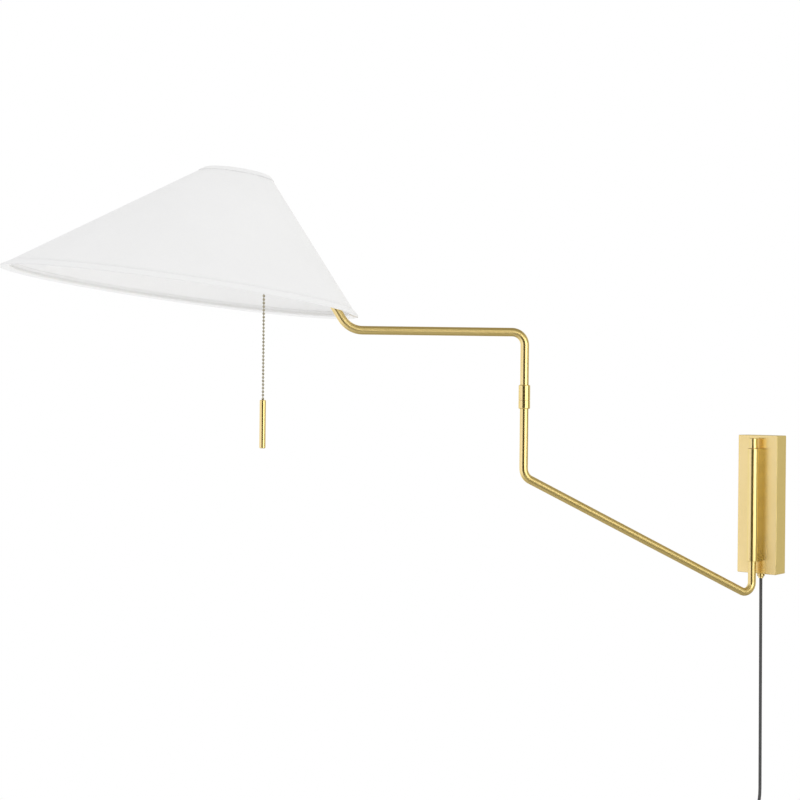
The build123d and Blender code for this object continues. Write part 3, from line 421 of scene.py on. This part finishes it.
# ---------------------------------------------------------------- materials
def brass(name, roughness, level_roughness):
    """Brushed brass whose stored axis says which way it blurs; level runs are duller than upright ones."""
    n = Nodes(name)
    axis, place = n.attribute("axis", "Vector"), n.place()
    drift = n.maths("MULTIPLY", n.noise(place, 60.0, 3.0), 2.0)
    rings = n.noise(n.vector(n.maths("MULTIPLY", n.attribute("along"), 900.0), drift), 1.0, 2.0, 0.6)
    cloud = n.noise(place, 22.0, 3.0)
    tone = n.mix(n.range(cloud, 0.35, 0.65, 0.0, 1.0), (0.86, 0.675, 0.285), (0.84, 0.655, 0.265))
    upright = n.maths("ABSOLUTE", n.add("ShaderNodeSeparateXYZ", {"Vector": axis}).outputs[2])
    base = n.range(upright, 0.5, 1.0, level_roughness, roughness)
    rough = n.maths("ADD", base, n.range(rings, 0.3, 0.7, -0.008, 0.008))
    return n.surface({
        "Base Color": tone, "Metallic": 1.0, "Roughness": rough, "Anisotropic": 0.9, "Tangent": axis,
    })


def metal(name, colour, other, roughness, scale=90.0):
    """Plain metal, clouded between two colours."""
    n = Nodes(name)
    place = n.place()
    cloud, grain = n.noise(place, scale, 4.0), n.noise(place, scale * 30, 2.0)
    return n.surface({
        "Base Color": n.mix(n.range(cloud, 0.35, 0.65, 0.0, 1.0), colour, other), "Metallic": 1.0,
        "Roughness": n.range(grain, 0.3, 0.7, roughness - 0.05, roughness + 0.05),
        "Normal": n.bump(grain, 0.00001),
    })


def plastic(name, colour, other, roughness, scale=250.0, fine=0.00003):
    """Plastic, rubber, card or glass, clouded between two colours, with a grain that is fine deep."""
    n = Nodes(name)
    place = n.place()
    cloud, grain = n.noise(place, scale / 6, 3.0), n.noise(place, scale * 8, 2.0)
    return n.surface({
        "Base Color": n.mix(n.range(cloud, 0.35, 0.65, 0.0, 1.0), colour, other),
        "Roughness": n.range(grain, 0.3, 0.7, roughness - 0.05, roughness + 0.05),
        "Normal": n.bump(grain, fine),
    })


SHADE_WHITE = (0.872, 0.871, 0.869)
THREAD_PITCH, THREAD_RISE = 0.00042, 0.00004


def weave(name, angle=0.0):
    """Plain-weave cloth on a UV map in metres, with slubs along the threads and painted shade darkening the
    gaps between them.
    """
    n = Nodes(name)
    uv = n.add("ShaderNodeUVMap", uv_map="cloth").outputs[0]
    if angle:
        turn = n.add("ShaderNodeVectorRotate", {"Vector": uv, "Angle": angle}, rotation_type="Z_AXIS")
        uv = turn.outputs[0]
    split = n.add("ShaderNodeSeparateXYZ", {"Vector": uv})
    slub_u = n.noise(n.scaled(uv, 2200.0, 90.0, 1.0), 1.0, 2.0)
    slub_v = n.noise(n.scaled(uv, 90.0, 2200.0, 1.0), 1.0, 2.0)
    a = n.maths("DIVIDE", split.outputs[0], THREAD_PITCH)
    a = n.maths("ADD", a, n.range(slub_v, 0.0, 1.0, -0.25, 0.25))
    b = n.maths("DIVIDE", split.outputs[1], THREAD_PITCH)
    b = n.maths("ADD", b, n.range(slub_u, 0.0, 1.0, -0.25, 0.25))

    def threads(across, lengthwise):
        bulge = n.maths("ABSOLUTE", n.maths("SINE", n.maths("MULTIPLY", across, pi)))
        swap = n.maths("ADD", lengthwise, n.maths("FLOOR", across))
        rise = n.maths("SINE", n.maths("MULTIPLY", swap, pi))
        return n.maths("MULTIPLY", bulge, n.range(rise, -1.0, 1.0, 0.35, 1.0))

    height = n.maths("MAXIMUM", threads(a, n.maths("ADD", b, 0.5)), threads(b, n.maths("ADD", a, 1.5)))
    slub = n.maths("ADD", slub_u, slub_v)
    # painted shade: the colour darkens by up to 4.5 percent in the gaps between threads, and varies a little
    # with the slubs
    depth = n.maths("MULTIPLY", n.range(height, 0.2, 1.0, 0.955, 1.0), n.range(slub, 0.7, 1.3, 0.985, 1.01))
    cloud = n.noise(n.place(), 14.0, 2.0)
    darker = tuple(c * 0.985 for c in SHADE_WHITE)
    tone = n.mix(n.range(cloud, 0.35, 0.65, 0.0, 1.0), SHADE_WHITE, darker)
    gap_shade_and_slub_tone = n.add("ShaderNodeVectorMath", {0: tone}, operation="SCALE")
    n.put(gap_shade_and_slub_tone.inputs["Scale"], depth)
    return n.surface({
        "Base Color": gap_shade_and_slub_tone.outputs[0], "Roughness": n.range(height, 0.2, 1.0, 0.92, 0.78),
        "Sheen Weight": 0.12, "Sheen Roughness": 0.5, "Specular IOR Level": 0.3,
        "Normal": n.bump(height, THREAD_RISE),
    })


satin = brass("satin_brass_round", 0.22, 0.50)
plate_brass = brass("satin_brass_flat", 0.23, 0.23)
bead_brass = metal("bead_brass", (0.52, 0.48, 0.35), (0.45, 0.41, 0.30), 0.25, 120.0)
bronze = metal("bearing_bronze_worn", (0.50, 0.30, 0.14), (0.42, 0.24, 0.11), 0.36)
zinc = metal("zinc_plate", (0.62, 0.64, 0.66), (0.66, 0.64, 0.56), 0.34, 60.0)
shell_brass = metal("socket_brass", (0.86, 0.68, 0.32), (0.80, 0.61, 0.27), 0.22, 70.0)
aluminium = metal("drawn_aluminium", (0.83, 0.83, 0.84), (0.76, 0.76, 0.77), 0.30, 140.0)
blade_metal = metal("blade_metal", (0.84, 0.67, 0.34), (0.78, 0.60, 0.28), 0.30, 160.0)
phenolic = plastic("phenolic_moulding", (0.022, 0.016, 0.013), (0.030, 0.022, 0.017), 0.38)
card = plastic("vulcan_fibre", (0.235, 0.140, 0.070), (0.190, 0.110, 0.052), 0.75)
wire_coat = plastic("white_coated_wire", (0.86, 0.857, 0.85), (0.84, 0.837, 0.83), 0.42)
opal = plastic("opal_glass_frost", (0.84, 0.83, 0.80), (0.82, 0.81, 0.785), 0.22, 120.0, 0.000004)
cord_rubber = plastic("cord_sheath", (0.062, 0.062, 0.061), (0.052, 0.052, 0.052), 0.82, 700.0)
plug_rubber = plastic("plug_moulding", (0.028, 0.028, 0.028), (0.022, 0.022, 0.022), 0.50, 500.0)
insulation = plastic("wire_insulation_pvc", (0.10, 0.10, 0.10), (0.085, 0.085, 0.085), 0.40)
nylon = plastic("crimp_cap_nylon", (0.72, 0.70, 0.66), (0.66, 0.64, 0.60), 0.35)
shade_cloth = weave("shade_linen")
trim_cloth = weave("bias_trim_linen", pi / 4)

finishes = {
    satin: "pivot_cap lower_arm_tube upper_arm_tube elbow_lower_collar elbow_upper_collar cord_gland "
    "tilt_tongue tilt_housing chain_spout pull_bar finial",
    plate_brass: "backplate_cover barrel_block",
    bead_brass: "switch_link ball_chain",
    bronze: "lower_barrel_bush upper_barrel_bush pivot_washer elbow_washer tilt_washers elbow_stem "
    "stem_nut socket_nipple",
    zinc: "wall_bracket cover_screws backing_bar barrel_screws gland_nut tilt_screw tilt_nut",
    shell_brass: "socket_cap socket_shell centre_contact",
    aluminium: "screw_shell bulb_base",
    blade_metal: "plug_blades",
    phenolic: "socket_body",
    card: "socket_liner",
    wire_coat: "bottom_ring shade_spider",
    opal: "bulb_glass",
    cord_rubber: "inner_cord",
    plug_rubber: "plug_body",
    insulation: "barrel_lead lower_arm_wire upper_arm_wire",
    nylon: "wire_crimps",
}
for material, names in finishes.items():
    for name in names.split():
        nodes[name].material_slots[0].material = material
cord.data.materials.append(cord_rubber)
for piece in (tie, tie_end):
    piece.data.materials.append(plug_rubber)

# ---------------------------------------------------------------- shade
SHADE_TOP_R, SHADE_BOTTOM_R, SHADE_HEIGHT, SHADE_SHIFT = 0.0386, 0.203, 0.145, 0.0449
SHADE_TOP_U = 0.023
SHADE_BOTTOM_U = SHADE_TOP_U - SHADE_HEIGHT
FABRIC_T = 0.001
AROUND = 288
apex_drop = -SHADE_TOP_R / (SHADE_BOTTOM_R - SHADE_TOP_R)


def on_shade(u, angle, out=0.0):
    """Place on the oblique cone at height u, out from its outside surface in the plane of the section."""
    drop = (SHADE_TOP_U - u) / SHADE_HEIGHT
    radius = SHADE_TOP_R + drop * (SHADE_BOTTOM_R - SHADE_TOP_R) + out
    centre = hub + head_x * (drop * SHADE_SHIFT) + head_up * u
    return centre + head_x * (radius * cos(angle)) + head_y * (radius * sin(angle))


apex = hub + head_x * (apex_drop * SHADE_SHIFT) + head_up * (SHADE_TOP_U - apex_drop * SHADE_HEIGHT)
SEAM = radians(-95.0)
angles = [SEAM + 2 * pi * i / AROUND for i in range(AROUND)]
rims = [on_shade(SHADE_BOTTOM_U, angle) - apex for angle in angles]
unrolled = [0.0]
for i in range(AROUND):
    unrolled.append(unrolled[-1] + rims[i].angle(rims[(i + 1) % AROUND]))


def swept(name, profile, cloth_uv):
    """Sweep a closed profile of (out(angle), u) points round the shade; cloth_uv(i, j) is a corner's UV."""
    mesh = bmesh.new()
    uv = mesh.loops.layers.uv.new("cloth")
    rings = []
    for angle in angles:
        rings.append([mesh.verts.new(on_shade(u, angle, out(angle))) for out, u in profile])
    for i in range(AROUND):
        one, two = rings[i], rings[(i + 1) % AROUND]
        for j in range(len(profile)):
            k = (j + 1) % len(profile)
            face = mesh.faces.new((one[j], one[k], two[k], two[j]))
            corners = ((i, j), (i, j + 1), (i + 1, j + 1), (i + 1, j))
            for loop, corner in zip(face.loops, corners):
                loop[uv].uv = cloth_uv(*corner)
    return finished(mesh, name)


SKIN_STEPS = 14
LAP_WIDTH, LAP_T, LAP_END = radians(2.2), 0.0005, 0.1
SKIN_WAVE, TAPE_WAVE = 0.00025, 0.0001


def skin_out(u):
    """Outside of the skin: a soft unevenness, and the lap of the seam."""

    def out(angle):
        turn = (angle - SEAM) % (2 * pi)
        lap = 0.0
        if turn < LAP_END:
            lap = LAP_T * (smooth(turn / radians(0.6)) - smooth((turn - LAP_WIDTH) / radians(0.25)))
        place = Vector((3.1 * cos(angle), 3.1 * sin(angle), 9.0 * u))
        return lap + SKIN_WAVE * noise.noise(place)

    return out


skin_profile = []
for j in range(SKIN_STEPS + 1):
    u = SHADE_TOP_U - SHADE_HEIGHT * j / SKIN_STEPS
    skin_profile.append((skin_out(u), u))
for j in range(SKIN_STEPS + 1):
    u = SHADE_BOTTOM_U + SHADE_HEIGHT * j / SKIN_STEPS
    skin_profile.append((lambda angle: -FABRIC_T, u))


def skin_uv(i, j):
    j %= len(skin_profile)
    u = skin_profile[j][1]
    reach = (on_shade(u, angles[i % AROUND]) - apex).length
    return reach * cos(unrolled[i]), reach * sin(unrolled[i])


shade = swept("shade_skin", skin_profile, skin_uv)
shade.data.materials.append(shade_cloth)


def rolled(name, edge, heights, way):
    """Bias tape folded over an edge; heights are (out, distance from the edge into the shade) in mm."""
    profile = [(MM * out, edge + way * MM * up) for out, up in heights]
    edge_r = SHADE_TOP_R if way < 0 else SHADE_BOTTOM_R
    wave_scale = 8.0 if way < 0 else 26.0
    lengths = [0.0]
    for (out0, u0), (out1, u1) in zip(profile, profile[1:] + profile[:1]):
        lengths.append(lengths[-1] + hypot(out1 - out0, u1 - u0))

    def uv(i, j):
        return 2 * pi * i / AROUND * edge_r, lengths[j]

    def bulged(out, u):
        def at(angle):
            place = Vector((cos(angle), sin(angle), 0.0)) * wave_scale
            return out + TAPE_WAVE * noise.noise(place + Vector((0, 0, 400.0 * u)))

        return at

    made = swept(name, [(bulged(out, u), u) for out, u in profile], uv)
    made.data.materials.append(trim_cloth)
    return made


bottom_trim = rolled("shade_bottom_trim", SHADE_BOTTOM_U, [
    (-0.10, 5.60), (0.25, 5.62), (0.55, 5.35), (0.85, 4.7), (1.1, 3.8), (1.3, 2.8), (1.4, 1.8), (1.35, 0.8),
    (1.0, 0.0), (0.4, -0.55), (-1.0, -0.6), (-2.6, -0.45), (-4.4, -0.1), (-5.9, 0.35), (-6.9, 0.75),
    (-7.35, 1.2), (-7.1, 1.9), (-6.4, 2.6), (-5.3, 3.4), (-4.0, 4.1), (-2.8, 4.8), (-1.9, 5.8), (-1.3, 7.0),
    (-0.95, 8.0), (-0.8, 8.0),
], 1)
top_trim = rolled("shade_top_trim", SHADE_TOP_U, [
    (-0.10, 4.3), (0.3, 4.3), (0.6, 3.9), (0.8, 3.1), (0.9, 2.1), (0.85, 1.1), (0.7, 0.2), (0.3, -0.5),
    (-0.2, -0.75), (-1.1, -0.8), (-1.8, -0.35), (-2.2, 0.4), (-2.35, 1.4), (-2.3, 2.4), (-2.0, 3.2),
    (-1.5, 3.5), (-0.9, 3.4),
], -1)
for piece, node, slot_name in (
    (shade, "shade_fabric", "white_shade_fabric"),
    (bottom_trim, "bottom_trim", "white_shade_trim"),
    (top_trim, "top_trim", "white_shade_trim"),
):
    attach(piece, "shade_head")
    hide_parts(node)

# ---------------------------------------------------------------- studio
STUDIO_AT = Vector((-0.2, -0.35, 0.12))
FLOOR_Z, FLOOR_R = -1.2, 2.4
camera_side = Vector((sin(CAMERA_HEADING), -cos(CAMERA_HEADING), 0.0))
camera_right = Vector((cos(CAMERA_HEADING), sin(CAMERA_HEADING), 0.0))


def background_rays(n):
    """1 for rays that should see the plain background, 0 for the light that falls on the object."""
    path = n.add("ShaderNodeLightPath")
    seen = n.maths("ADD", path.outputs["Is Camera Ray"], path.outputs["Is Glossy Ray"])
    return n.maths("ADD", seen, path.outputs["Is Transmission Ray"], clamp=True)


FILL, BACKDROP = 1.0, 1.0  # strength of the light on the object, and of the background in view
scene.world = bpy.data.worlds.new("studio")
world_nodes = Nodes("studio", scene.world)
strength = world_nodes.range(background_rays(world_nodes), 0.0, 1.0, FILL, BACKDROP)
world_nodes.show(world_nodes.add("ShaderNodeBackground", {"Color": (1.0, 1.0, 1.0), "Strength": strength}))


def studio_piece(name, mesh, material):
    """Turn a bmesh into a piece of the studio."""
    data = bpy.data.meshes.new(name)
    mesh.to_mesh(data)
    mesh.free()
    data.materials.append(material)
    made = bpy.data.objects.new(name, data)
    scene.collection.objects.link(made)
    return made


def reflector(name, corners, colour):
    """Studio card that only reflections see."""
    n = Nodes(name)
    n.show(n.add("ShaderNodeEmission", {"Color": colour, "Strength": 1.0}))
    mesh = bmesh.new()
    mesh.faces.new([mesh.verts.new(corner) for corner in corners])
    made = studio_piece(name, mesh, n.material)
    made.visible_camera = made.visible_diffuse = made.visible_transmission = made.visible_shadow = False


def screen(name, start, end, low, high, colour):
    """Upright card between two places on the floor plan."""
    (x0, y0), (x1, y1) = start, end
    reflector(name, [(x0, y0, low), (x1, y1, low), (x1, y1, high), (x0, y0, high)], colour)


def shelf(name, x0, x1, y0, y1, height, colour):
    """Level card above or below the object."""
    reflector(name, [(x0, y0, height), (x1, y0, height), (x1, y1, height), (x0, y1, height)], colour)


# floor plan: the dark gap round the camera runs from GAP_LEFT to GAP_RIGHT, and the bright screen from
# there to BRIGHT_END
LEFT_END, GAP_LEFT, GAP_RIGHT, BRIGHT_END = (-1.6, -1.1), (-0.15, -1.50), (0.98, -1.20), (0.956, 0.017)
BACK_RIGHT, BACK_LEFT = (1.0, 1.0), (-1.6, 1.0)
SCREEN_FOOT, SCREEN_TOP = -1.0, 1.2
GAP_LOW, GAP_HIGH = -0.85, 0.70
BRIGHT_LOW, BRIGHT_HIGH = -0.20, 0.50
screen("bright_screen", GAP_RIGHT, BRIGHT_END, BRIGHT_LOW, BRIGHT_HIGH, (2.3, 2.3, 2.3))
screen("below_screen", GAP_RIGHT, BRIGHT_END, SCREEN_FOOT, BRIGHT_LOW, (0.5, 0.5, 0.4))
screen("above_screen", GAP_RIGHT, BRIGHT_END, BRIGHT_HIGH, SCREEN_TOP, (0.6, 0.6, 0.55))
screen("camera_gap", GAP_LEFT, GAP_RIGHT, GAP_LOW, GAP_HIGH, (0.05, 0.04, 0.02))
screen("over_camera", GAP_LEFT, GAP_RIGHT, GAP_HIGH, SCREEN_TOP, (1.8, 1.8, 1.7))
screen("under_camera", GAP_LEFT, GAP_RIGHT, SCREEN_FOOT, GAP_LOW, (1.3, 1.3, 1.3))
screen("left_front", LEFT_END, GAP_LEFT, SCREEN_FOOT, SCREEN_TOP, (1.11, 1.12, 1.36))
screen("right_back", BRIGHT_END, BACK_RIGHT, -0.60, 0.90, (0.40, 0.38, 0.30))
screen("far_back", BACK_RIGHT, BACK_LEFT, -0.90, SCREEN_TOP, (0.70, 0.68, 0.56))
shelf("ceiling", -1.7, 1.2, -1.75, 1.1, SCREEN_TOP, (0.40, 0.38, 0.30))
shelf("floor_front", -1.7, 1.3, -1.9, -0.25, -1.10, (0.60, 0.60, 0.50))
shelf("floor_back", -1.7, 1.3, -0.25, 1.2, -1.10, (0.32, 0.31, 0.30))

# the floor shows its shadow from above and lets light and view through from below
floor_nodes = Nodes("pale_floor")
lit = floor_nodes.add("ShaderNodeBsdfDiffuse", {"Color": (0.80, 0.80, 0.80)})
lift = floor_nodes.maths("MULTIPLY", background_rays(floor_nodes), 0.25)
glow = floor_nodes.add("ShaderNodeEmission", {"Color": (1.0, 1.0, 1.0), "Strength": lift})
both = floor_nodes.add("ShaderNodeAddShader", {0: lit.outputs[0], 1: glow.outputs[0]})
through = floor_nodes.add("ShaderNodeBsdfTransparent")
under = floor_nodes.add("ShaderNodeNewGeometry").outputs["Backfacing"]
shown = floor_nodes.add("ShaderNodeMixShader", {0: under, 1: both.outputs[0], 2: through.outputs[0]})
floor_nodes.show(shown)
floor_mesh = bmesh.new()
bmesh.ops.create_circle(floor_mesh, cap_ends=True, segments=96, radius=FLOOR_R)
floor = studio_piece("floor", floor_mesh, floor_nodes.material)
floor.location = (STUDIO_AT.x, STUDIO_AT.y, FLOOR_Z)


def softbox(name, width, depth, energy, centre, target):
    """Broad lamp that reflections and the camera don't see."""
    data = bpy.data.lights.new(name, "AREA")
    data.shape = "RECTANGLE"
    data.size, data.size_y, data.energy = width, depth, energy
    made = bpy.data.objects.new(name, data)
    aim = (target - centre).to_track_quat("-Z", "Y").to_matrix().to_4x4()
    made.matrix_world = Matrix.Translation(centre) @ aim
    made.visible_camera = made.visible_glossy = False
    scene.collection.objects.link(made)


KEY_TURN, KEY_RISE, KEY_AWAY = radians(50), 0.35, 2.4  # turn to the right of the camera
key_way = camera_side * cos(KEY_TURN) + camera_right * sin(KEY_TURN) + UP * KEY_RISE
softbox("key", 2.2, 2.0, 3.5, STUDIO_AT + key_way * KEY_AWAY, STUDIO_AT)
below = Vector((STUDIO_AT.x, STUDIO_AT.y, FLOOR_Z + 0.05))
softbox("below", 2.0, 2.0, 7.0, below, below + UP)

# ---------------------------------------------------------------- update of the view layer
bpy.context.view_layer.update()
